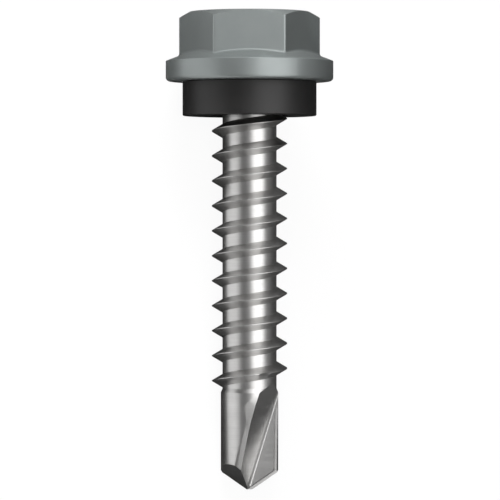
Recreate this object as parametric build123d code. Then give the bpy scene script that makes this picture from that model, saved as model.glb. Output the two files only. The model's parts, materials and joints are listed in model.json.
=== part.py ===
from build123d import *
import math
import os

# Self drilling screw with a sealing washer, in millimetres and degrees.
# Both pieces are drawn upright: the screw's axis is Z, the flange's flat underside is at zero height,
# the head stands above it and everything below it is given as a depth. The front faces -Y.
# Directions about the axis are in degrees to the right of the front.
# At the end the pieces are laid down together, as the screw comes to rest on a flat surface.

# Hexagon head
head_across_flats = 7.80
head_height = 4.41
head_corner_radius = 0.18
head_top_circle_diameter = 7.64
head_chamfer_angle = 30.0
head_root_radius = 0.22

# Flange
flange_diameter = 10.66
flange_rim_height = 1.31
flange_top_slope = 21.0
flange_lower_edge_bevel = 0.20

# Shank, down to the collar that widens it to the drill body
shank_diameter = 3.44
under_flange_bevel = 0.30
collar_depth = 19.52
collar_length = 0.28

# Thread, one start, right-handed, with a sharp crest
thread_pitch = 1.5875
thread_diameter = 4.80
thread_flank_angle = 30.0
thread_first_crest_depth = 2.366
thread_fade_in_start = 1.20
thread_fade_in_length = 0.90
thread_fade_out_length = 0.42
thread_to_collar = 0.02
thread_sunk_depth = 0.12

# Drill point
point_depth = 26.0
drill_diameter = 3.65
lip_half_angle = 55.15
lip_clearance_angle = 33.0
web_thickness = 0.25
cutting_edge_bevel = 0.22

# Flutes, two, half a turn apart
flute_lean_angle = 16.2
flute_wall_width = 1.00
flute_wall_height = 1.42
flute_wall_radius = 3.0
flute_heel_radius = 0.38
flute_heel_exit_angle = 15.0
flute_end_below_collar = 0.08
flute_end_offset = 0.55
flute_end_slope = 38.0

# Nick that the front flute's end leaves in the last full turn of the thread
nick_radius = 0.53
nick_bite = 0.22
nick_direction = 23.0
nick_length = 1.2

# Sealing washer
washer_diameter = 8.52
washer_thickness = 2.19
washer_edge_bevel = 0.08
washer_bore_clearance = 0.05

# Rest: the direction that faces up when the screw lies still, with one flute towards the surface
upward_direction = 24.0


def sine(angle):
    return math.sin(math.radians(angle))


def cosine(angle):
    return math.cos(math.radians(angle))


def tangent(angle):
    return math.tan(math.radians(angle))


# Sizes that follow from the ones above
flange_radius = flange_diameter / 2
shank_radius = shank_diameter / 2
thread_radius = thread_diameter / 2
drill_radius = drill_diameter / 2
washer_radius = washer_diameter / 2
washer_bore_radius = thread_radius + washer_bore_clearance
collar_end_depth = collar_depth + collar_length
thread_fade_in_end = thread_fade_in_start + thread_fade_in_length
thread_fade_out_end = collar_depth - thread_to_collar
thread_fade_out_start = thread_fade_out_end - thread_fade_out_length
flute_end_depth = collar_end_depth + flute_end_below_collar
half_web = web_thickness / 2
lip_slope = 1 / tangent(lip_half_angle)
clearance_slope = tangent(lip_clearance_angle)
lip_apex_depth = point_depth + clearance_slope * half_web
tool_reach = flange_diameter


def front(x, nearness, z):
    """A place as the front view shows it: x to the right, nearness towards the viewer, z up."""
    return Vector(x, -nearness, z)


def turned(*points):
    """A solid turned about the axis from (radius, height) points."""
    outline = Polyline(*[(radius, 0, height) for radius, height in points], close=True)
    return revolve(make_face(outline), Axis.Z)


def both_sides(tool):
    """A cutting tool and its copy half a turn round the axis."""
    return [tool, tool.rotate(Axis.Z, 180)]


# Head: a hexagon with a round chamfered top, in one piece with its flange
def hexagon():
    block = extrude(RegularPolygon(head_across_flats / 2, 6, major_radius=False), head_height)
    block = fillet(block.edges().filter_by(Axis.Z), head_corner_radius)
    top_radius = head_top_circle_diameter / 2
    chamfer_drop = (tool_reach - top_radius) * tangent(head_chamfer_angle)
    envelope = turned(
        (0, 0),
        (tool_reach, 0),
        (tool_reach, head_height - chamfer_drop),
        (top_radius, head_height),
        (0, head_height),
    )
    return block & envelope


def flange():
    cone_rise = flange_radius * tangent(flange_top_slope)
    return turned(
        (0, 0),
        (flange_radius - flange_lower_edge_bevel, 0),
        (flange_radius, flange_lower_edge_bevel),
        (flange_radius, flange_rim_height),
        (0, flange_rim_height + cone_rise),
    )


def head():
    """The hexagon on its flange, with a small radius in the corner where they meet."""
    joined = hexagon() + flange()
    cone_top = flange_rim_height + (flange_radius - head_across_flats / 2) * tangent(flange_top_slope)
    margin = head_root_radius / 10
    corner_edges = []
    for edge in joined.edges():
        box = edge.bounding_box()
        if box.min.Z > flange_rim_height + margin and box.max.Z < cone_top + margin:
            corner_edges.append(edge)
    return fillet(corner_edges, head_root_radius)


# Shank, collar and drill body, turned about the axis, then pointed
def pointed_shank():
    blank = turned(
        (0, flange_rim_height / 2),
        (shank_radius + under_flange_bevel, flange_rim_height / 2),
        (shank_radius + under_flange_bevel, 0),
        (shank_radius, -under_flange_bevel),
        (shank_radius, -collar_depth),
        (drill_radius, -collar_end_depth),
        (drill_radius, -lip_apex_depth),
        (0, -lip_apex_depth),
    )
    for relief in both_sides(relief_tool()):
        blank = blank - relief
    return blank


def relief_tool():
    """What is ground away under the right lip: a flat that holds the lip and rises behind it."""
    lip_start = front(0, half_web, -lip_apex_depth)
    upward = front(-lip_slope, clearance_slope, 1)
    lip_plane = Plane(origin=lip_start, z_dir=upward)
    return extrude(lip_plane * Rectangle(2 * tool_reach, 2 * tool_reach), -tool_reach)


# Thread
def thread_ridge():
    """The thread's ridge, swept along a helix and trimmed to fade into the shank at both ends."""
    sunk_radius = shank_radius - thread_sunk_depth
    sunk_half = (thread_radius - sunk_radius) * tangent(thread_flank_angle)
    turns_below = math.ceil((thread_fade_out_end - thread_first_crest_depth) / thread_pitch) + 1
    turns_above = math.ceil(thread_first_crest_depth / thread_pitch)
    lowest = -thread_first_crest_depth - turns_below * thread_pitch
    section = Polyline(
        (sunk_radius, 0, lowest - sunk_half),
        (thread_radius, 0, lowest),
        (sunk_radius, 0, lowest + sunk_half),
        close=True,
    )
    height = (turns_below + turns_above) * thread_pitch
    path = Helix(thread_pitch, height, shank_radius, center=(0, 0, lowest))
    ridge = sweep(make_face(section), path=path, is_frenet=True)
    return ridge & fading_envelope()


def fading_envelope():
    inside = shank_radius / 2
    outside = thread_radius + thread_sunk_depth
    return turned(
        (inside, -thread_fade_in_start),
        (shank_radius, -thread_fade_in_start),
        (outside, -thread_fade_in_end),
        (outside, -thread_fade_out_start),
        (shank_radius, -thread_fade_out_end),
        (inside, -thread_fade_out_end),
    )


def crest_depth(direction):
    """Depth of the last full crest in a direction."""
    first = thread_first_crest_depth + thread_pitch * (90 - direction) / 360
    turns = math.floor((thread_fade_out_start - first) / thread_pitch)
    return first + turns * thread_pitch


# Flutes
def flute_tool():
    """The front flute: a flat rake face on the right, a hollow wall and a rounded heel on the left."""
    chord_angle = math.degrees(math.atan2(flute_wall_height, flute_wall_width))
    chord = math.hypot(flute_wall_width, flute_wall_height)
    wall_end_angle = chord_angle + math.degrees(math.asin(chord / 2 / flute_wall_radius))
    wall_end = Vector(-flute_wall_width, -flute_wall_height)
    heel_centre = wall_end + flute_heel_radius * Vector(-sine(wall_end_angle), cosine(wall_end_angle))
    toward_exit = Vector(sine(flute_heel_exit_angle), -cosine(flute_heel_exit_angle))
    heel_end = heel_centre + flute_heel_radius * toward_exit
    exit_run = tool_reach * Vector(-cosine(flute_heel_exit_angle), -sine(flute_heel_exit_angle))
    outside = heel_end + exit_run
    wall = RadiusArc((0, 0), wall_end, -flute_wall_radius)
    heel = RadiusArc(wall_end, heel_end, flute_heel_radius)
    rest = Polyline(
        heel_end,
        outside,
        (outside.X, -2 * tool_reach),
        (tool_reach, -2 * tool_reach),
        (tool_reach, 0),
        (0, 0),
    )
    along = front(sine(flute_lean_angle), 0, cosine(flute_lean_angle))
    across = front(cosine(flute_lean_angle), 0, -sine(flute_lean_angle))
    valley_foot = front(0, half_web, -point_depth)
    section_plane = Plane(origin=valley_foot, x_dir=across, z_dir=along)
    section = section_plane * make_face([wall, heel, *rest.edges()])
    groove = extrude(section, tool_reach, both=True)
    end_point = front(flute_end_offset, 0, -flute_end_depth)
    end_plane = Plane(origin=end_point, z_dir=front(-sine(flute_end_slope), 0, cosine(flute_end_slope)))
    return split(groove, bisect_by=end_plane, keep=Keep.BOTTOM)


def rake_edge():
    """How far the flat rake face reaches to the right, to the drill body's round surface."""
    return math.sqrt(drill_radius**2 - half_web**2)


def margin_bevel_tool():
    """The bevel between the rake face and the drill body, up to where the flute's valley meets it."""
    inner = rake_edge() - cutting_edge_bevel
    top = inner / tangent(flute_lean_angle) - point_depth
    section = Polyline(
        front(inner - half_web, 2 * half_web, -lip_apex_depth),
        front(inner + tool_reach, 2 * half_web, -lip_apex_depth),
        front(inner + tool_reach, half_web - tool_reach, -lip_apex_depth),
        close=True,
    )
    return extrude(make_face(section), amount=top + lip_apex_depth, dir=(0, 0, 1))


def lip_bevel_tool():
    """The bevel between the rake face and the flat under the lip."""
    lip_angle = 90 - lip_half_angle
    lip_plane = Plane(
        origin=front(0, half_web, -lip_apex_depth),
        x_dir=front(sine(lip_angle), 0, -cosine(lip_angle)),
        z_dir=front(cosine(lip_angle), 0, sine(lip_angle)),
    )
    section = Polyline(
        (-cutting_edge_bevel - half_web, -half_web),
        (tool_reach, -half_web),
        (tool_reach, tool_reach + cutting_edge_bevel),
        close=True,
    )
    return extrude(lip_plane * make_face(section), tool_reach)


def nick_tool():
    distance = thread_radius - nick_bite + nick_radius
    centre = front(
        distance * sine(nick_direction), distance * cosine(nick_direction), -crest_depth(nick_direction)
    )
    return Pos(centre) * Cylinder(nick_radius, nick_length)


# Screw, in one piece
def screw():
    steel = head() + pointed_shank() + thread_ridge()
    steel = steel - nick_tool()
    for tool in (flute_tool(), margin_bevel_tool(), lip_bevel_tool()):
        for side in both_sides(tool):
            steel = steel - side
    return steel


# Sealing washer, seated on the flange's underside
def sealing_washer():
    return turned(
        (washer_bore_radius, 0),
        (washer_radius - washer_edge_bevel, 0),
        (washer_radius, -washer_edge_bevel),
        (washer_radius, washer_edge_bevel - washer_thickness),
        (washer_radius - washer_edge_bevel, -washer_thickness),
        (washer_bore_radius, -washer_thickness),
    )


# Rest: the flange and the point both touch the surface, so the axis leans up towards the head
def laid_down(piece, lean):
    return piece.rotate(Axis.Z, -upward_direction).rotate(Axis.X, lean - 90)


def rest_lean(screw_piece, washer_piece):
    """The lean at which the head end and the point end are equally low."""
    halfway = Plane(origin=(0, 0, -point_depth / 2))
    head_end = [split(screw_piece, bisect_by=halfway, keep=Keep.TOP), washer_piece]
    point_end = [split(screw_piece, bisect_by=halfway, keep=Keep.BOTTOM)]
    lean = 0
    for _ in range(6):
        head_low, point_low = (
            min(laid_down(piece, lean).bounding_box().min.Z for piece in end)
            for end in (head_end, point_end)
        )
        lean += math.degrees((point_low - head_low) / point_depth)
    return lean


pieces = {"screw": screw(), "sealing_washer": sealing_washer()}
lean = rest_lean(*pieces.values())
laid = {name: laid_down(piece, lean) for name, piece in pieces.items()}
whole = laid["screw"].bounding_box().add(laid["sealing_washer"].bounding_box())
shift = Vector(-whole.center().X, -whole.center().Y, -whole.min.Z)

os.makedirs("parts", exist_ok=True)
for name, piece in laid.items():
    export_step(Pos(shift) * piece, f"parts/{name}.step")
print("lean of the axis", round(lean, 3), "degrees, centre of the flange's underside at", shift)
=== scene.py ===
# %% [markdown]
# # A self drilling screw with a sealing washer
#
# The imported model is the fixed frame. It says where the screw lies and how large it is, and it stays hidden behind
# two finer pieces made here: the steel screw, whose head and flange are painted, and the black rubber washer.
# Both are drawn upright in millimetres, which is how a maker reads them off a drawing, and laid down at the end.

# %% Load the frame
import bmesh
import bpy
import json
import math
from mathutils import Matrix, Vector


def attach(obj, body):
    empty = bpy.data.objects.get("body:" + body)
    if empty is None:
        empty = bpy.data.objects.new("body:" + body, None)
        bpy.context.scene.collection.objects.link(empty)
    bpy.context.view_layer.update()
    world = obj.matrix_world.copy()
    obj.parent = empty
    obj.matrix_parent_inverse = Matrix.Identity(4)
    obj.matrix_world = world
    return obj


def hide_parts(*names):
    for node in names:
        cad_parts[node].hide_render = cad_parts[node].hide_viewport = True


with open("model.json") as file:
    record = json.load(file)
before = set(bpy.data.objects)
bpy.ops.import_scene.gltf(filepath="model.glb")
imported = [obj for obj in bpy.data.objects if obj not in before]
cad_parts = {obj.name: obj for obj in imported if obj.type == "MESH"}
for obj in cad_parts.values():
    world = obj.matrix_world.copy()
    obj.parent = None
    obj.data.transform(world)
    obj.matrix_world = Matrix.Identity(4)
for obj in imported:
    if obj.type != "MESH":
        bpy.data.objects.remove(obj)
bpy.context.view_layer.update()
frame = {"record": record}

# %% [markdown]
# ## From the drawing to the place where the screw lies
#
# In the drawing the screw's axis is Z, the flange's flat underside is at height zero, the head is above it and the
# front faces -Y. The real screw lies on the flange's rim and its point, turned a little about its axis, and the
# record's sealing face says where: its place is on the axis under the washer, and its axis runs towards the point.
# One matrix does the whole move, so every piece is finished upright and moved once, inside its mesh.

# %% The matrix that lays a piece down
MM = 0.001
WASHER_THICKNESS = 2.19
UPWARD_DIRECTION = 24.0

sealing_face = next(m for m in frame["record"]["mounts"] if m["name"] == "sealing_face")
toward_point = Vector(sealing_face["axis"])
flange_underside = Vector(sealing_face["pos_m"]) - toward_point * WASHER_THICKNESS * MM
lean = math.asin(-toward_point.z)
turned_down = Matrix.Rotation(lean - math.pi / 2, 4, "X") @ Matrix.Rotation(-math.radians(UPWARD_DIRECTION), 4, "Z")
laid = Matrix.Translation(flange_underside) @ turned_down @ Matrix.Scale(MM, 4)
print("lean", round(math.degrees(lean), 3), "underside", [round(c, 6) for c in flange_underside])


def front(x, nearness, z):
    """A place in the drawing: x to the right, nearness towards the viewer, z up."""
    return Vector((x, -nearness, z))


# %% [markdown]
# ## Small helpers for meshes
#
# Every shape below starts as a few vertices and grows by bmesh operators: a chain is spun round the axis, a rim of
# open edges is pulled out ring by ring, and a tool is cut away with a Boolean. A Boolean is the natural way to say
# what a grinding wheel or a punch leaves, and the exact solver keeps the edges crisp.

# %% Angles in degrees
def sine(angle):
    return math.sin(math.radians(angle))


def cosine(angle):
    return math.cos(math.radians(angle))


def tangent(angle):
    return math.tan(math.radians(angle))


# %% Chains, rings and solids
def only(kind, parts):
    return [part for part in parts if isinstance(part, kind)]


def chain(bm, points):
    """Vertices joined one after another by edges."""
    corners = [bm.verts.new(point) for point in points]
    return corners, [bm.edges.new(pair) for pair in zip(corners, corners[1:])]


def tidy(bm, distance=1e-5):
    """Doubles merged and faces turned outwards."""
    bmesh.ops.remove_doubles(bm, verts=bm.verts, dist=distance)
    bmesh.ops.recalc_face_normals(bm, faces=bm.faces)


def spin_once(bm, points, steps):
    """A chain through (radius, height) points, spun one full turn about Z."""
    corners, edges = chain(bm, [(radius, 0, height) for radius, height in points])
    bmesh.ops.spin(
        bm, geom=corners + edges, cent=(0, 0, 0), axis=(0, 0, 1), angle=math.tau, steps=steps, use_merge=True
    )


def clear_beyond(bm, place, beyond):
    """Everything on one side of a plane cleared away. Gives the edges that the cut has opened."""
    everything = bm.verts[:] + bm.edges[:] + bm.faces[:]
    cut = bmesh.ops.bisect_plane(
        bm, geom=everything, dist=1e-6, plane_co=place, plane_no=beyond, clear_outer=True
    )
    return [edge for edge in only(bmesh.types.BMEdge, cut["geom_cut"]) if edge.is_boundary]


def rim_at(bm, height, reach=1e-3):
    """The open edges that lie at one height."""
    return [
        edge
        for edge in bm.edges
        if edge.is_boundary and all(abs(corner.co.z - height) < reach for corner in edge.verts)
    ]


def pull(bm, edges, radius, height):
    """A rim pulled out to a new radius and height, as a ring of new faces."""
    made = bmesh.ops.extrude_edge_only(bm, edges=edges)["geom"]
    for corner in only(bmesh.types.BMVert, made):
        flat = corner.co.to_2d().normalized() * radius
        corner.co = (flat.x, flat.y, height)
    return only(bmesh.types.BMEdge, made)


def arc(centre, radius, start, end, steps):
    """Points (radius, height) on an arc, from one angle in degrees to another."""
    angles = [start + (end - start) * step / steps for step in range(steps + 1)]
    return [(centre[0] + radius * cosine(angle), centre[1] + radius * sine(angle)) for angle in angles]


def object_from(bm, name):
    mesh = bpy.data.meshes.new(name)
    bm.to_mesh(mesh)
    bm.free()
    made = bpy.data.objects.new(name, mesh)
    bpy.context.scene.collection.objects.link(made)
    return made


def boolean(body, tool, operation):
    """The body with the tool's solid added or taken away, worked out and kept as its mesh."""
    modifier = body.modifiers.new(tool.name, "BOOLEAN")
    modifier.operation = operation
    modifier.solver = "EXACT"
    modifier.object = tool
    done = bpy.data.meshes.new_from_object(body.evaluated_get(bpy.context.evaluated_depsgraph_get()))
    body.modifiers.remove(modifier)
    old = body.data
    body.data = done
    bpy.data.meshes.remove(old)
    bpy.data.meshes.remove(tool.data)
    print(f"{operation.lower()}: {len(body.data.polygons)} faces")


# %% [markdown]
# ## The thread
#
# A rolled thread is one ridge that winds round the shank. It could be a curve with a bevel, but the ridge and the
# plain shank between its turns are one skin, so one pitch of the outline is spun round the axis while it climbs.
# After each turn its upper end meets its own lower end, the doubles merge, and the skin is whole. The crest has the
# small round that rolling leaves, and at both ends the ridge sinks into the shank.

# %% One pitch of the outline
SHANK_RADIUS = 1.72
THREAD_RADIUS = 2.40
THREAD_PITCH = 1.5875
FLANK_ANGLE = 30.0
CREST_ROUND = 0.030
ROUND_STEPS = 8

crest_centre = (THREAD_RADIUS - CREST_ROUND, 0)
foot_height = CREST_ROUND / cosine(FLANK_ANGLE) + (crest_centre[0] - SHANK_RADIUS) * tangent(FLANK_ANGLE)
outline = [
    (SHANK_RADIUS, -THREAD_PITCH / 2),
    (SHANK_RADIUS, -foot_height),
    *arc(crest_centre, CREST_ROUND, FLANK_ANGLE - 90, 90 - FLANK_ANGLE, ROUND_STEPS),
    (SHANK_RADIUS, foot_height),
    (SHANK_RADIUS, THREAD_PITCH / 2),
]
print("ridge at its foot", round(2 * foot_height, 3), "mm wide")

# %% The skin, wound up from below the last turn
FIRST_CREST_DEPTH = 2.366
TURNS_BELOW_IT = 12
TURNS = 14
STEPS_A_TURN = 96
WINDING_DOUBLES = 2e-3

lowest_crest = -FIRST_CREST_DEPTH - TURNS_BELOW_IT * THREAD_PITCH
screw_mesh = bmesh.new()
corners, edges = chain(screw_mesh, [(radius, 0, lowest_crest + height) for radius, height in outline])
bmesh.ops.spin(
    screw_mesh,
    geom=corners + edges,
    cent=(0, 0, 0),
    axis=(0, 0, 1),
    dvec=(0, 0, THREAD_PITCH / STEPS_A_TURN),
    angle=math.tau * TURNS,
    steps=STEPS_A_TURN * TURNS,
)
tidy(screw_mesh, distance=WINDING_DOUBLES)
print("thread", len(screw_mesh.faces), "faces")

# %% The ends of the ridge, and level cuts above and below
FADE_IN = (1.20, 2.10)
FADE_OUT = (19.50, 19.08)
SKIN_TOP = -1.0
COLLAR_DEPTH = 19.52


def share(value, none, full):
    """How far a value has come from none to full, as 0 to 1."""
    return min(max((value - none) / (full - none), 0), 1)


for corner in screw_mesh.verts:
    radius = corner.co.to_2d().length
    height_left = min(share(-corner.co.z, *FADE_IN), share(-corner.co.z, *FADE_OUT))
    wanted = SHANK_RADIUS + (radius - SHANK_RADIUS) * height_left
    corner.co.x *= wanted / radius
    corner.co.y *= wanted / radius
for height, side in ((SKIN_TOP, 1), (-COLLAR_DEPTH, -1)):
    clear_beyond(screw_mesh, (0, 0, height), (0, 0, side))
tidy(screw_mesh)
print("shank and thread", len(screw_mesh.faces), "faces")

# %% [markdown]
# ## The collar and the drill body below, the flange above
#
# A short cone widens the shank to the drill body, whose rings are pulled down past the point and closed. Upwards the
# skin widens under the flange, runs out along its flat underside, round its lower edge, up the rim and in along the
# sloping top. That keeps shank and flange one skin, as in one piece of forged steel.

# %% Rings pulled down: the collar and the drill body
COLLAR_LENGTH = 0.25
DRILL_RADIUS = 1.825
BODY_RINGS = 16
BODY_END = 26.4

body_start = COLLAR_DEPTH + COLLAR_LENGTH
rim = pull(screw_mesh, rim_at(screw_mesh, -COLLAR_DEPTH), DRILL_RADIUS, -body_start)
for ring in range(1, BODY_RINGS + 1):
    rim = pull(screw_mesh, rim, DRILL_RADIUS, -body_start - (BODY_END - body_start) * ring / BODY_RINGS)
bmesh.ops.edgeloop_fill(screw_mesh, edges=rim)
print("drill body from", body_start, "to", BODY_END, "mm under the flange")

# %% Rings pulled up: the flange
FLANGE_RADIUS = 5.33
RIM_HEIGHT = 1.31
TOP_SLOPE = 21.0
LOWER_ROUND = 0.25
UPPER_ROUND = 0.06
UNDER_FLANGE_ROUND = 0.30
UPPER_STEPS = 6
TOP_RINGS = (4.6, 3.8, 3.2, 2.6)

flange_outline = [
    *arc((SHANK_RADIUS + UNDER_FLANGE_ROUND, -UNDER_FLANGE_ROUND), UNDER_FLANGE_ROUND, 180, 90, ROUND_STEPS),
    *arc((FLANGE_RADIUS - LOWER_ROUND, LOWER_ROUND), LOWER_ROUND, -90, 0, ROUND_STEPS),
    *arc((FLANGE_RADIUS - UPPER_ROUND, RIM_HEIGHT - UPPER_ROUND), UPPER_ROUND, 0, 90 - TOP_SLOPE, UPPER_STEPS),
]
rim = rim_at(screw_mesh, SKIN_TOP)
for radius, height in flange_outline:
    rim = pull(screw_mesh, rim, radius, height)
last_radius, last_height = flange_outline[-1]
for radius in TOP_RINGS:
    rim = pull(screw_mesh, rim, radius, last_height + (last_radius - radius) * tangent(TOP_SLOPE))
bmesh.ops.edgeloop_fill(screw_mesh, edges=rim)
tidy(screw_mesh)
print("turned body", len(screw_mesh.faces), "faces, open edges", sum(e.is_boundary for e in screw_mesh.edges))

# %% [markdown]
# ## The relief under the two lips
#
# A drill point is ground on two sides, so that each cutting lip stands out in front of the metal behind it. Each
# ground flat is a plane through one lip that rises behind it. Two flat cuts make exactly that: everything beyond the
# plane is cleared and the opening is filled. A third one, level, blunts the tip, because a sharp one doesn't survive
# plating and handling. The grind is turned a little to the left of the front, and the flutes turn with it.

# %% Two cuts half a turn apart, and the blunt tip
LIP_HALF_ANGLE = 55.15
LIPS_MEET_DEPTH = 26.07
TIP_DEPTH = 25.95
GROUND_TURN = 2.2
CLEARANCE_ANGLE = 34.5
HALF_WEB = 0.125

lip_apex = front(0, HALF_WEB, -LIPS_MEET_DEPTH - HALF_WEB * tangent(CLEARANCE_ANGLE))
beyond_lip = front(1 / tangent(LIP_HALF_ANGLE), -tangent(CLEARANCE_ANGLE), -1)
half_turn = Matrix.Rotation(math.pi, 4, "Z")
front_turn = Matrix.Rotation(-math.radians(GROUND_TURN), 4, "Z")
planes = [(turned @ lip_apex, turned.to_3x3() @ beyond_lip) for turned in (front_turn, half_turn @ front_turn)]
planes.append((Vector((0, 0, -TIP_DEPTH)), Vector((0, 0, -1))))
for place, beyond in planes:
    bmesh.ops.edgeloop_fill(screw_mesh, edges=clear_beyond(screw_mesh, place, beyond))
tidy(screw_mesh)
print("ground point", len(screw_mesh.faces), "faces, open edges", sum(e.is_boundary for e in screw_mesh.edges))
screw = object_from(screw_mesh, "screw")

# %% [markdown]
# ## The hexagon
#
# The hexagon is forged with slightly rounded corners, and its top is chamfered by a cone, which leaves a shallow arc
# at the top of each flat. The prism is an extruded circle of six sides whose upright edges are bevelled. The cone
# is a solid of its own, and what the two have in common is the head.

# %% Prism and cone
ACROSS_FLATS = 7.80
HEAD_HEIGHT = 4.41
CORNER_RADIUS = 0.18
TOP_CIRCLE_RADIUS = 3.82
HEAD_CHAMFER = 30.0
HEAD_FOOT = 0.7
PRISM_SPARE = 0.2
CORNER_STEPS = 6
CONE_STEPS = 192
BEYOND = 12.0


def bevel_edges(bm, edges, offset, segments):
    bmesh.ops.bevel(
        bm,
        geom=edges,
        offset=offset,
        offset_type="OFFSET",
        segments=segments,
        profile=0.5,
        affect="EDGES",
        material=-1,
    )


head_mesh = bmesh.new()
flat_in_front = Matrix.Rotation(math.tau / 12, 4, "Z")
bmesh.ops.create_circle(
    head_mesh, cap_ends=True, segments=6, radius=ACROSS_FLATS / math.sqrt(3), matrix=flat_in_front
)
bmesh.ops.translate(head_mesh, verts=head_mesh.verts, vec=(0, 0, HEAD_FOOT))
raised = bmesh.ops.extrude_face_region(head_mesh, geom=head_mesh.faces[:])["geom"]
prism_height = HEAD_HEIGHT - HEAD_FOOT + PRISM_SPARE
bmesh.ops.translate(head_mesh, verts=only(bmesh.types.BMVert, raised), vec=(0, 0, prism_height))
upright = [edge for edge in head_mesh.edges if abs(edge.verts[0].co.z - edge.verts[1].co.z) > prism_height / 2]
bevel_edges(head_mesh, upright, CORNER_RADIUS * tangent(30), CORNER_STEPS)
bmesh.ops.recalc_face_normals(head_mesh, faces=head_mesh.faces)
head = object_from(head_mesh, "hexagon")

cone_mesh = bmesh.new()
cone_edge = HEAD_HEIGHT - (BEYOND - TOP_CIRCLE_RADIUS) * tangent(HEAD_CHAMFER)
cone_outline = [(0, -1), (BEYOND, -1), (BEYOND, cone_edge), (TOP_CIRCLE_RADIUS, HEAD_HEIGHT), (0, HEAD_HEIGHT)]
spin_once(cone_mesh, cone_outline, CONE_STEPS)
tidy(cone_mesh)
boolean(head, object_from(cone_mesh, "chamfer"), "INTERSECT")
boolean(screw, head, "UNION")

# %% [markdown]
# ## The flutes
#
# Each flute is a flat rake face on the right and a hollow wall on the left, and it leans to the right as it climbs.
# Beside the wall the punch has pressed the drill body a little flat, which is the heel's land. The wall is hollower
# near the point. So the tool starts as one level outline, which is pulled up station by station, and at each one the
# wall and the land are worked out afresh. The plane where the punch stopped cuts it off. The same tool turned half
# a turn makes the flute at the back.

# %% A level outline of the flute at one depth
FLUTE_LEAN = 16.8
# The depth at which the valley reaches the axis, and the height over which the wall and the land change
POINT_DEPTH = 25.99
WAY_UP = 6.0
# The wall's slope at its foot, its radius, its slope further out and how deep its edge lies, at the point and higher
WALL_AT_POINT = (27.0, 0.55, 63.4, 0.25)
WALL_HIGHER = (33.0, 0.6, 54.2, -0.09)
WALL_START = 3.0
LEAST_SUNK = 0.012
# The land's radius at the point and higher, between which shares of the way up it grows, and how it turns
LAND_RADII = (0.70, 1.60)
LAND_ROUNDER = (0.55, 1.0)
LAND_CROSSING = 0.01
LAND_TURN = 10.0
LAND_FACING = 2.7
LAND_LEAST = 0.02
VALLEY_ROUND = 0.04
VALLEY_STEPS, WALL_STEPS, LAND_STEPS = 6, 14, 12


def flute_outline(depth):
    """(across, nearness) points at a depth, from the rake face round by valley, wall and land and out."""
    share_up = (POINT_DEPTH - depth) / WAY_UP
    steep_start, wall_radius, steep_end, edge_sunk = (
        low + (high - low) * share_up for low, high in zip(WALL_AT_POINT, WALL_HIGHER)
    )
    foot = Vector(((POINT_DEPTH - depth) * tangent(FLUTE_LEAN), HALF_WEB))
    valley_centre = foot + VALLEY_ROUND * Vector((tangent(steep_start / 2), 1))
    wall_centre = foot + wall_radius * Vector((sine(steep_start), cosine(steep_start)))
    valley = arc(valley_centre, VALLEY_ROUND, -90, -90 - steep_start, VALLEY_STEPS)
    wall = arc(wall_centre, wall_radius, 270 - steep_start - WALL_START, 270 - steep_end, WALL_STEPS)
    outward = Vector((sine(steep_end), cosine(steep_end)))
    upward = Vector((-cosine(steep_end), sine(steep_end)))
    inset = Vector(wall[-1]).dot(outward)
    edge_radius = DRILL_RADIUS - max(edge_sunk, LEAST_SUNK)
    edge = outward * inset + upward * math.sqrt(max(edge_radius**2 - inset**2, 0.0))
    # The land faces the front where its edge is left of the axis, and turns with the edge further up
    facing = max(LAND_FACING, math.degrees(math.atan2(edge.x, edge.y)) - LAND_TURN)
    over_land = Vector((cosine(facing), -sine(facing)))
    off_land = Vector((sine(facing), cosine(facing)))
    land_radius = LAND_RADII[0] + (LAND_RADII[1] - LAND_RADII[0]) * share(share_up, *LAND_ROUNDER)
    rise = edge.dot(off_land) - land_radius
    reach = DRILL_RADIUS - land_radius + LAND_CROSSING
    back = LAND_LEAST + max(math.sqrt(max(reach**2 - rise**2, 0.0)), -edge.dot(over_land))
    turned = math.degrees(math.atan2(back, rise))
    land = arc(off_land * rise - over_land * back, land_radius, 90 - facing, 90 - facing + turned, LAND_STEPS)
    way_out = Vector(land[-1]) + BEYOND * Vector((-sine(turned - facing), cosine(turned - facing)))
    top, right = 2 * BEYOND, foot.x + BEYOND
    land = [tuple(edge), *land, tuple(way_out)]
    return [(right, HALF_WEB), *valley, *wall, *land, (way_out.x, top), (right, top)]


# %% The tool, pulled up from below the point
FLUTE_DEPTHS = (26.6, 18.2)
STATIONS = 18
FLUTE_END_DEPTH = 19.88
FLUTE_END_OFFSET = 0.55
FLUTE_END_SLOPE = 38.0


def station(number):
    """The outline's corners in their places, counted up from the lowest."""
    depth = FLUTE_DEPTHS[0] + (FLUTE_DEPTHS[1] - FLUTE_DEPTHS[0]) * number / (STATIONS - 1)
    return [front(across, nearness, -depth) for across, nearness in flute_outline(depth)]


flute_mesh = bmesh.new()
corners, ring = chain(flute_mesh, station(0))
ring.append(flute_mesh.edges.new((corners[-1], corners[0])))
bmesh.ops.edgeloop_fill(flute_mesh, edges=ring)
for number in range(1, STATIONS):
    made = bmesh.ops.extrude_edge_only(flute_mesh, edges=ring)["geom"]
    fresh = set(only(bmesh.types.BMVert, made))
    corners = [
        next(edge.other_vert(corner) for edge in corner.link_edges if edge.other_vert(corner) in fresh)
        for corner in corners
    ]
    for corner, place in zip(corners, station(number)):
        corner.co = place
    ring = [edge for edge in only(bmesh.types.BMEdge, made) if set(edge.verts) <= set(corners)]
bmesh.ops.edgeloop_fill(flute_mesh, edges=ring)
bmesh.ops.triangulate(flute_mesh, faces=flute_mesh.faces)
flute_end = front(FLUTE_END_OFFSET, 0, -FLUTE_END_DEPTH)
beyond_end = front(-sine(FLUTE_END_SLOPE), 0, cosine(FLUTE_END_SLOPE))
bmesh.ops.edgeloop_fill(flute_mesh, edges=clear_beyond(flute_mesh, flute_end, beyond_end))
bmesh.ops.recalc_face_normals(flute_mesh, faces=flute_mesh.faces)
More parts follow.
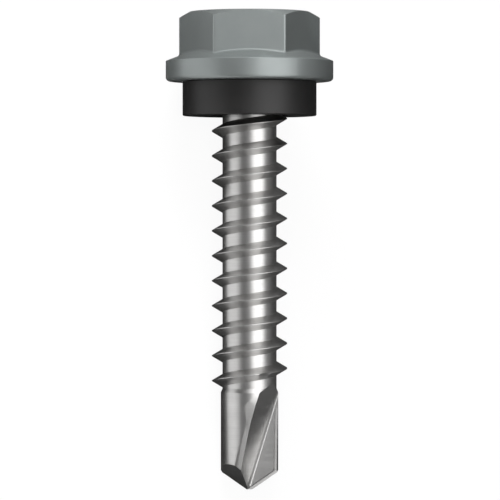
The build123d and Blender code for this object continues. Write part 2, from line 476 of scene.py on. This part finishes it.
print("flute tool", len(flute_mesh.faces), "faces, open edges", sum(e.is_boundary for e in flute_mesh.edges))

# %% [markdown]
# ## The cutting edges and the nick
#
# Along the rake face's outer edge and along the lip the metal drops by a narrow step to a small land that is ground
# nearly flat, and outside the margin's land it falls away again. Each is one prism whose side is that outline. The
# end of the front flute has also left a small nick in the last full crest of the thread, as a round tool does that
# comes from below.

# %% The small tools
LIP_WIDTH = 0.31
LIP_SLOPE = 8.0
MARGIN_WIDTH = 0.34
# The step and the margin's land, each as its width and its slope
STEP = (0.08, 50.0)
MARGIN_LAND = (0.14, 3.0)
OUTER_SLOPE = 60.0
MARGIN_FADE = (0.10, 0.05)
MARGIN_TOP_DEPTH = 20.75
NICK_RADIUS = 1.50
NICK_STEPS = 64
NICK_BITE = 0.12
NICK_DIRECTION = 27.0
NICK_TILT = 48.0
NICK_LENGTH = 1.2


def prism(points, along):
    """A solid whose end has these corners and which is pushed along a vector."""
    bm = bmesh.new()
    bm.faces.new([bm.verts.new(point) for point in points])
    pushed = bmesh.ops.extrude_face_region(bm, geom=bm.faces[:])["geom"]
    bmesh.ops.translate(bm, verts=only(bmesh.types.BMVert, pushed), vec=along)
    bmesh.ops.recalc_face_normals(bm, faces=bm.faces)
    return bm


def edge_outline(width, *runs):
    """(out, drop) corners of an edge tool: slopes over widths one after another, starting a width inside the edge."""
    first_run, first_slope = runs[0]
    corners = [(-width - first_run, first_run * tangent(first_slope))]
    out, drop = -width, 0
    for run, slope in runs:
        out, drop = out + run, drop - run * tangent(slope)
        corners.append((out, drop))
    return [*corners, (out, corners[0][1])]


rake_edge = math.sqrt(DRILL_RADIUS**2 - HALF_WEB**2)
below = lip_apex.z
margin_outline = edge_outline(MARGIN_WIDTH, STEP, MARGIN_LAND, (BEYOND, OUTER_SLOPE))
margin_mesh = prism(
    [front(rake_edge + out, HALF_WEB + drop, below) for out, drop in margin_outline],
    front(*MARGIN_FADE, -MARGIN_TOP_DEPTH - below),
)
lip_run = front(sine(LIP_HALF_ANGLE), 0, cosine(LIP_HALF_ANGLE))
lip_out = front(cosine(LIP_HALF_ANGLE), 0, -sine(LIP_HALF_ANGLE))
lip_outline = edge_outline(LIP_WIDTH, STEP, (BEYOND, LIP_SLOPE))
lip_mesh = prism([lip_apex + lip_out * out + front(0, drop, 0) for out, drop in lip_outline], lip_run * BEYOND)

first_crest = FIRST_CREST_DEPTH + THREAD_PITCH * (90 - NICK_DIRECTION) / 360
last_crest = first_crest + math.floor((FADE_OUT[1] - first_crest) / THREAD_PITCH) * THREAD_PITCH
level = front(sine(NICK_DIRECTION), cosine(NICK_DIRECTION), 0)
toward_tool = level * cosine(NICK_TILT) + Vector((0, 0, -sine(NICK_TILT)))
tool_axis = level * sine(NICK_TILT) + Vector((0, 0, cosine(NICK_TILT)))
nick_place = level * (THREAD_RADIUS - NICK_BITE) + Vector((0, 0, -last_crest)) + toward_tool * NICK_RADIUS
nick_mesh = bmesh.new()
bmesh.ops.create_cone(
    nick_mesh,
    cap_ends=True,
    segments=NICK_STEPS,
    radius1=NICK_RADIUS,
    radius2=NICK_RADIUS,
    depth=NICK_LENGTH,
    matrix=Matrix.Translation(nick_place) @ Vector((0, 0, 1)).rotation_difference(tool_axis).to_matrix().to_4x4(),
)
print("nick at depth", round(last_crest, 3))

# %% Everything cut from the steel
boolean(screw, object_from(nick_mesh, "nick"), "DIFFERENCE")
for name, mesh in (("flute", flute_mesh), ("margin", margin_mesh), ("lip", lip_mesh)):
    bmesh.ops.transform(mesh, matrix=front_turn, verts=mesh.verts)
    back = mesh.copy()
    bmesh.ops.transform(back, matrix=half_turn, verts=back.verts)
    boolean(screw, object_from(mesh, name), "DIFFERENCE")
    boolean(screw, object_from(back, name + "_back"), "DIFFERENCE")

# %% [markdown]
# ## Finishing the steel
#
# Forging leaves a small radius where the hexagon meets the flange, so the edges between them are bevelled round. The
# rest of the skin is smooth where it is turned and sharp where two surfaces meet, which is told by the angle between
# faces. Weighted normals keep the wide flats flat beside narrow bevels, and the head's flat top becomes one face,
# because a fan of thin ones shows as faint rays.

# %% The radius at the hexagon's foot, sharp edges and the two finishes
ROOT_RADIUS = 0.22
ROOT_STEPS = 5
FOOT_TOP = 2.4
UPRIGHT_BELOW, LEVEL_ABOVE = 0.1, 0.8
SHARP_ANGLE = 18.0
SAME_PLACE = 1e-4
AT_THE_UNDERSIDE = 0.002
BARE_BEYOND = 0.01
PAINT, STEEL = 0, 1

screw_mesh = bmesh.new()
screw_mesh.from_mesh(screw.data)
bmesh.ops.remove_doubles(screw_mesh, verts=screw_mesh.verts, dist=SAME_PLACE)
bmesh.ops.dissolve_degenerate(screw_mesh, edges=screw_mesh.edges, dist=SAME_PLACE)
top = [face for face in screw_mesh.faces if all(corner.co.z > HEAD_HEIGHT - 1e-3 for corner in face.verts)]
bmesh.ops.dissolve_faces(screw_mesh, faces=top)


def at_foot(edge):
    """True for an edge between one of the hexagon's upright sides and the flange's sloping top."""
    if len(edge.link_faces) != 2:
        return False
    slopes = sorted(face.normal.z for face in edge.link_faces)
    middle = (edge.verts[0].co + edge.verts[1].co) / 2
    return slopes[0] < UPRIGHT_BELOW and slopes[1] > LEVEL_ABOVE and RIM_HEIGHT < middle.z < FOOT_TOP


foot = [edge for edge in screw_mesh.edges if at_foot(edge)]
print("edges at the hexagon's foot", len(foot))
bevel_edges(screw_mesh, foot, ROOT_RADIUS * tangent((90 - TOP_SLOPE) / 2), ROOT_STEPS)
bare_radius = SHANK_RADIUS + UNDER_FLANGE_ROUND + BARE_BEYOND
for face in screw_mesh.faces:
    middle = face.calc_center_median()
    face.smooth = True
    bare = middle.z < AT_THE_UNDERSIDE and middle.to_2d().length < bare_radius
    face.material_index = STEEL if middle.z < -AT_THE_UNDERSIDE or bare else PAINT
for edge in screw_mesh.edges:
    edge.smooth = edge.is_manifold and math.degrees(edge.calc_face_angle(0)) < SHARP_ANGLE
open_edges = sum(not edge.is_manifold for edge in screw_mesh.edges)
bmesh.ops.transform(screw_mesh, matrix=laid, verts=screw_mesh.verts)
screw_mesh.to_mesh(screw.data)
screw_mesh.free()
weighting = screw.modifiers.new("flat faces stay flat", "WEIGHTED_NORMAL")
weighting.keep_sharp = True
print("screw", len(screw.data.polygons), "faces, edges that are not closed:", open_edges)

# %% [markdown]
# ## The sealing washer
#
# The washer is a thick ring of black rubber that the flange presses on the roof sheet. Its outline is a rectangle
# whose edges are slightly rounded, as moulding leaves them, and a full turn about the axis closes it.

# %% Outline and turn
WASHER_RADIUS = 4.26
BORE_RADIUS = 2.45
WASHER_ROUND = 0.08
WASHER_STEPS = 160

washer_mesh = bmesh.new()
outline = [
    (BORE_RADIUS, 0),
    *arc((WASHER_RADIUS - WASHER_ROUND, -WASHER_ROUND), WASHER_ROUND, 90, 0, ROUND_STEPS),
    *arc((WASHER_RADIUS - WASHER_ROUND, WASHER_ROUND - WASHER_THICKNESS), WASHER_ROUND, 0, -90, ROUND_STEPS),
    *arc((BORE_RADIUS + WASHER_ROUND, WASHER_ROUND - WASHER_THICKNESS), WASHER_ROUND, -90, -180, ROUND_STEPS),
    (BORE_RADIUS, 0),
]
spin_once(washer_mesh, outline, WASHER_STEPS)
tidy(washer_mesh)
for face in washer_mesh.faces:
    face.smooth = True
for edge in washer_mesh.edges:
    edge.smooth = math.degrees(edge.calc_face_angle(0)) < SHARP_ANGLE
print("washer", len(washer_mesh.faces), "faces, open edges", sum(e.is_boundary for e in washer_mesh.edges))
bmesh.ops.transform(washer_mesh, matrix=laid, verts=washer_mesh.verts)
washer = object_from(washer_mesh, "sealing_washer_rubber")
screw.name = "screw_steel"

# %% [markdown]
# ## Materials
#
# Three finishes show: satin grey-green paint with a metallic sheen, bright plated steel with fine lathe lines that
# run round it, and black rubber. The patterns are made in the drawing's own millimetres, so each material turns
# Object coordinates back upright with one Mapping node. What they share is a group for grain and one for worn edges.


# %% Materials, groups and their sockets
def new_material(name):
    material = bpy.data.materials.new(name)
    material.use_nodes = True
    nodes = material.node_tree.nodes
    shader = next(node for node in nodes if node.type == "BSDF_PRINCIPLED")
    return material, nodes, material.node_tree.links, shader


def drawing_place(nodes, links):
    """A place in the drawing, in millimetres, from Object coordinates."""
    where = nodes.new("ShaderNodeTexCoord")
    back = nodes.new("ShaderNodeMapping")
    back.vector_type = "TEXTURE"
    back.inputs["Location"].default_value = flange_underside
    back.inputs["Rotation"].default_value = turned_down.to_euler()
    back.inputs["Scale"].default_value = (MM, MM, MM)
    links.new(where.outputs["Object"], back.inputs["Vector"])
    return back.outputs["Vector"]


def new_group(name, inputs, outputs):
    group = bpy.data.node_groups.new(name, "ShaderNodeTree")
    for label, kind, value in inputs:
        socket = group.interface.new_socket(name=label, in_out="INPUT", socket_type=kind)
        if value is not None:
            socket.default_value = value
    for label, kind in outputs:
        group.interface.new_socket(name=label, in_out="OUTPUT", socket_type=kind)
    return group, group.nodes.new("NodeGroupInput"), group.nodes.new("NodeGroupOutput")


def placed(nodes, links, group, place, **values):
    """A group's node fed with a place. Underscores in the values' names stand for spaces in its sockets' names."""
    node = nodes.new("ShaderNodeGroup")
    node.node_tree = group
    links.new(place, node.inputs["Place"])
    for label, value in values.items():
        node.inputs[label.replace("_", " ")].default_value = value
    return node


def math_node(nodes, links, operation, first, second):
    node = nodes.new("ShaderNodeMath")
    node.operation = operation
    for socket, value in zip(node.inputs, (first, second)):
        if isinstance(value, (int, float)):
            socket.default_value = value
        else:
            links.new(value, socket)
    return node.outputs[0]


# %% Grain: fine streaks or specks, stretched round or along the axis
grain, got, given = new_group(
    "grain",
    [("Place", "NodeSocketVector", None), ("Across", "NodeSocketFloat", 1.0), ("Along", "NodeSocketFloat", 1.0)],
    [("Grain", "NodeSocketFloat")],
)
stretch = grain.nodes.new("ShaderNodeCombineXYZ")
for socket in ("X", "Y"):
    grain.links.new(got.outputs["Across"], stretch.inputs[socket])
grain.links.new(got.outputs["Along"], stretch.inputs["Z"])
scaled = grain.nodes.new("ShaderNodeVectorMath")
scaled.operation = "MULTIPLY"
grain.links.new(got.outputs["Place"], scaled.inputs[0])
grain.links.new(stretch.outputs[0], scaled.inputs[1])
specks = grain.nodes.new("ShaderNodeTexNoise")
specks.inputs["Scale"].default_value = 1.0
specks.inputs["Detail"].default_value = 4.0
grain.links.new(scaled.outputs[0], specks.inputs["Vector"])
grain.links.new(specks.outputs["Fac"], given.inputs["Grain"])

# %% Worn edges: a mask from how much the surface stands out, broken up by specks
worn, got, given = new_group(
    "worn edges",
    [("Place", "NodeSocketVector", None), ("Speck Size", "NodeSocketFloat", 6.0)],
    [("Mask", "NodeSocketFloat")],
)
shape = worn.nodes.new("ShaderNodeNewGeometry")
stands_out = worn.nodes.new("ShaderNodeMapRange")
stands_out.inputs["From Min"].default_value = 0.52
stands_out.inputs["From Max"].default_value = 0.62
worn.links.new(shape.outputs["Pointiness"], stands_out.inputs["Value"])
specks = worn.nodes.new("ShaderNodeTexNoise")
specks.inputs["Detail"].default_value = 3.0
worn.links.new(got.outputs["Place"], specks.inputs["Vector"])
worn.links.new(got.outputs["Speck Size"], specks.inputs["Scale"])
product = worn.nodes.new("ShaderNodeMath")
product.operation = "MULTIPLY"
worn.links.new(stands_out.outputs["Result"], product.inputs[0])
worn.links.new(specks.outputs["Fac"], product.inputs[1])
worn.links.new(product.outputs[0], given.inputs["Mask"])
print("groups", [group.name for group in bpy.data.node_groups])


# %% Mixing, ranges and bumps
def mixed(nodes, links, factor, first, second):
    node = nodes.new("ShaderNodeMix")
    node.data_type = "RGBA"
    links.new(factor, node.inputs["Factor"])
    for socket, value in ((node.inputs[6], first), (node.inputs[7], second)):
        if isinstance(value, tuple):
            socket.default_value = (*value, 1)
        else:
            links.new(value, socket)
    return node.outputs[2]


def ranged(nodes, links, value, low, high):
    """Noise, whose values keep mostly to its middle, spread over another range."""
    node = nodes.new("ShaderNodeMapRange")
    node.inputs["From Min"].default_value = 0.3
    node.inputs["From Max"].default_value = 0.7
    node.inputs["To Min"].default_value = low
    node.inputs["To Max"].default_value = high
    links.new(value, node.inputs["Value"])
    return node.outputs["Result"]


def bumped(nodes, links, height, distance):
    """A normal from a height in metres. Half strength keeps the finish satin."""
    node = nodes.new("ShaderNodeBump")
    node.inputs["Distance"].default_value = distance
    node.inputs["Strength"].default_value = 0.5
    links.new(height, node.inputs["Height"])
    return node.outputs["Normal"]


# %% Paint, steel and rubber
PAINT_SHADES = (0.240, 0.262, 0.260), (0.260, 0.282, 0.280)
WORN_PAINT = (0.34, 0.37, 0.37)
STEEL_SHADES = (0.60, 0.595, 0.585), (0.66, 0.655, 0.65)
LATHE_LINE = (0.50, 0.495, 0.485)
RUBBER = (0.010, 0.0095, 0.0095)
WORN_RUBBER = (0.03, 0.028, 0.027)


def paint_material():
    material, nodes, links, shader = new_material("grey_green_paint")
    place = drawing_place(nodes, links)
    fine = placed(nodes, links, grain, place, Across=9.0, Along=9.0).outputs["Grain"]
    broad = placed(nodes, links, grain, place, Across=0.5, Along=0.5).outputs["Grain"]
    edges_worn = placed(nodes, links, worn, place, Speck_Size=5.0).outputs["Mask"]
    colour = mixed(nodes, links, ranged(nodes, links, broad, 0, 1), *PAINT_SHADES)
    colour = mixed(nodes, links, edges_worn, colour, WORN_PAINT)
    links.new(colour, shader.inputs["Base Color"])
    shader.inputs["Metallic"].default_value = 0.65
    links.new(ranged(nodes, links, fine, 0.34, 0.40), shader.inputs["Roughness"])
    links.new(bumped(nodes, links, fine, 2e-6), shader.inputs["Normal"])
    return material


def steel_material():
    material, nodes, links, shader = new_material("bright_plated_steel")
    place = drawing_place(nodes, links)
    lines = placed(nodes, links, grain, place, Across=0.5, Along=14.0).outputs["Grain"]
    clouds = placed(nodes, links, grain, place, Across=0.9, Along=0.9).outputs["Grain"]
    colour = mixed(nodes, links, ranged(nodes, links, clouds, 0, 1), *STEEL_SHADES)
    colour = mixed(nodes, links, ranged(nodes, links, lines, 0, 0.35), colour, LATHE_LINE)
    links.new(colour, shader.inputs["Base Color"])
    shader.inputs["Metallic"].default_value = 1.0
    links.new(ranged(nodes, links, lines, 0.30, 0.40), shader.inputs["Roughness"])
    links.new(bumped(nodes, links, lines, 3e-6), shader.inputs["Normal"])
    return material


def rubber_material():
    material, nodes, links, shader = new_material("black_rubber")
    place = drawing_place(nodes, links)
    fine = placed(nodes, links, grain, place, Across=14.0, Along=14.0).outputs["Grain"]
    edges_worn = placed(nodes, links, worn, place, Speck_Size=4.0).outputs["Mask"]
    colour = mixed(nodes, links, edges_worn, RUBBER, WORN_RUBBER)
    links.new(colour, shader.inputs["Base Color"])
    links.new(ranged(nodes, links, fine, 0.42, 0.50), shader.inputs["Roughness"])
    links.new(bumped(nodes, links, fine, 3e-6), shader.inputs["Normal"])
    return material


screw.data.materials.append(paint_material())
screw.data.materials.append(steel_material())
washer.data.materials.append(rubber_material())
print("materials", [material.name for material in bpy.data.materials])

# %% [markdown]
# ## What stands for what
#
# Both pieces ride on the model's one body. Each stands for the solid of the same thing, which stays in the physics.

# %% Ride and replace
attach(screw, "root")
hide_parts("screw")
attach(washer, "root")
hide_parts("sealing_washer")
print("pieces", screw.name, "and", washer.name)

# %% [markdown]
# ## Floor, cards and lights
#
# The floor is a wide pale disc whose rim curves up, so a low view still ends in white. A bright round thing shows
# its surroundings, so its dark edges come from black cards beside and under it, as a photographer places them. They
# show only in reflections. Two long soft strips beside the camera draw the two light bands down the steel, and they
# too show only in reflections. The matt surfaces get their light from a fill by the camera and a lamp over the head,
# and a dim panel there is what the head's sloping faces reflect.

# %% Floor
FLOOR_RADIUS = 0.6
FLOOR_RIM = 0.07
FLOOR_STEPS = 64
FLOOR_PALE = 0.93
FLOOR_GLOW_SHARE = 0.93
MATT = 0.9


def floor_material():
    """A pale matt surface that the camera and reflections see as nearly white, with shadows kept."""
    material, nodes, links, shader = new_material("pale_floor")
    shader.inputs["Base Color"].default_value = (FLOOR_PALE, FLOOR_PALE, FLOOR_PALE, 1)
    shader.inputs["Roughness"].default_value = MATT
    glow = nodes.new("ShaderNodeEmission")
    glow.inputs["Strength"].default_value = 1.0
    path = nodes.new("ShaderNodeLightPath")
    seen = math_node(nodes, links, "MAXIMUM", path.outputs["Is Camera Ray"], path.outputs["Is Glossy Ray"])
    seen = math_node(nodes, links, "MAXIMUM", seen, path.outputs["Is Transmission Ray"])
    seen = math_node(nodes, links, "MULTIPLY", seen, FLOOR_GLOW_SHARE)
    blend = nodes.new("ShaderNodeMixShader")
    links.new(seen, blend.inputs["Fac"])
    links.new(shader.outputs[0], blend.inputs[1])
    links.new(glow.outputs[0], blend.inputs[2])
    output = next(node for node in nodes if node.type == "OUTPUT_MATERIAL")
    links.new(blend.outputs[0], output.inputs["Surface"])
    return material


floor_mesh = bmesh.new()
floor_outline = [(0, 0), (FLOOR_RADIUS, 0), *arc((FLOOR_RADIUS, FLOOR_RIM), FLOOR_RIM, -90, 0, ROUND_STEPS)]
spin_once(floor_mesh, floor_outline, FLOOR_STEPS)
bmesh.ops.remove_doubles(floor_mesh, verts=floor_mesh.verts, dist=1e-6)
for face in floor_mesh.faces:
    face.smooth = True
floor = object_from(floor_mesh, "floor")
floor.data.materials.append(floor_material())
print("floor", len(floor.data.polygons), "faces")

# %% Black cards, seen only in reflections
CARD_LIFT = 1e-4
# Cards on the floor by their ends in X and in Y, and upright cards by their height and their ends in Y, in metres
CARDS = {
    "card_under_head": ((-0.012, 0.060), (0.004, 0.035)),
    "card_under_shank": ((-0.0052, 0.060), (-0.070, 0.004)),
}
WALL_PLACE = 0.030
WALL_HEIGHTS = {"card_beside_head": (0.014, (0.004, 0.035)), "card_beside_shank": (0.008, (-0.070, 0.004))}

card_material, nodes, links, shader = new_material("black_card")
shader.inputs["Base Color"].default_value = (0.02, 0.02, 0.02, 1)
shader.inputs["Roughness"].default_value = MATT


def card(name, places):
    """A flat card between four corners."""
    bm = bmesh.new()
    bm.faces.new([bm.verts.new(place) for place in places])
    made = object_from(bm, name)
    made.data.materials.append(card_material)
    made.visible_camera = False
    made.visible_diffuse = False
    made.visible_shadow = False
    made.visible_transmission = False


for name, ((left, right), (low, high)) in CARDS.items():
    card(name, [(x, y, CARD_LIFT) for x, y in ((left, low), (right, low), (right, high), (left, high))])
for name, (height, (low, high)) in WALL_HEIGHTS.items():
    card(name, [(WALL_PLACE, y, z) for y, z in ((low, CARD_LIFT), (high, CARD_LIFT), (high, height), (low, height))])
print("cards", [*CARDS, *WALL_HEIGHTS])

# %% Camera: over the screw, looking square on its front
VIEW_ACROSS = 0.03
VIEW_HEIGHT = -10.725
VIEW_DISTANCE = 270.3
LENS = 306.0


def looking(place, target, upward):
    """A matrix at a place, its -Z towards a target and its Y near a direction, all in the drawing's millimetres."""
    forward = (target - place).normalized()
    side = forward.cross(upward).normalized()
    over = side.cross(forward)
    turn_matrix = Matrix((side, over, -forward)).transposed().to_4x4()
    return Matrix.Translation(laid @ place) @ turned_down @ turn_matrix


target = front(VIEW_ACROSS, 0, VIEW_HEIGHT)
camera_data = bpy.data.cameras.new("camera")
camera_data.lens = LENS
camera_data.sensor_width = 36
camera_data.clip_start = 0.01
camera = bpy.data.objects.new("camera", camera_data)
camera.matrix_world = looking(front(VIEW_ACROSS, VIEW_DISTANCE, VIEW_HEIGHT), target, Vector((0, 0, 1)))
bpy.context.scene.collection.objects.link(camera)
bpy.context.scene.camera = camera
print("camera at", [round(c, 4) for c in camera.matrix_world.translation])


# %% Lights
def strip(name, direction, rise, distance, width, length, power, lower=0, in_gloss=True, in_diffuse=True):
    """A soft area light aimed at the axis from a direction in degrees to the right of the front, and its rise."""
    level = Vector((sine(direction), -cosine(direction), 0))
    aim = target - Vector((0, 0, lower))
    place = aim + distance * (cosine(rise) * level + Vector((0, 0, sine(rise))))
    data = bpy.data.lights.new(name, "AREA")
    data.shape = "RECTANGLE"
    data.size, data.size_y = width * MM, length * MM
    data.energy = power
    light = bpy.data.objects.new(name, data)
    light.matrix_world = looking(place, aim, Vector((0, 0, 1)) if abs(rise) < 45 else level)
    light.visible_glossy = in_gloss
    light.visible_diffuse = in_diffuse
    light.visible_camera = False
    bpy.context.scene.collection.objects.link(light)
    print(name, power, "W")


strip("key_strip", 36.5, 0, distance=150, width=150, length=420, power=0.38, in_diffuse=False)
strip("side_strip", -52, 0, distance=150, width=54, length=260, power=0.033, lower=94, in_diffuse=False)
strip("fill", 4, 0, distance=260, width=110, length=110, power=0.43, in_gloss=False)
strip("head_light", 0, 62, distance=220, width=110, length=110, power=0.58, in_gloss=False)
strip("crown_panel", 12, 62, distance=220, width=120, length=160, power=0.09, in_diffuse=False)

# %% World and colours
WORLD_STRENGTH = 0.14

world = bpy.data.worlds.new("studio")
world.use_nodes = True
world.node_tree.nodes["Background"].inputs["Color"].default_value = (1, 1, 1, 1)
world.node_tree.nodes["Background"].inputs["Strength"].default_value = WORLD_STRENGTH
bpy.context.scene.world = world
bpy.context.scene.view_settings.view_transform = "Standard"
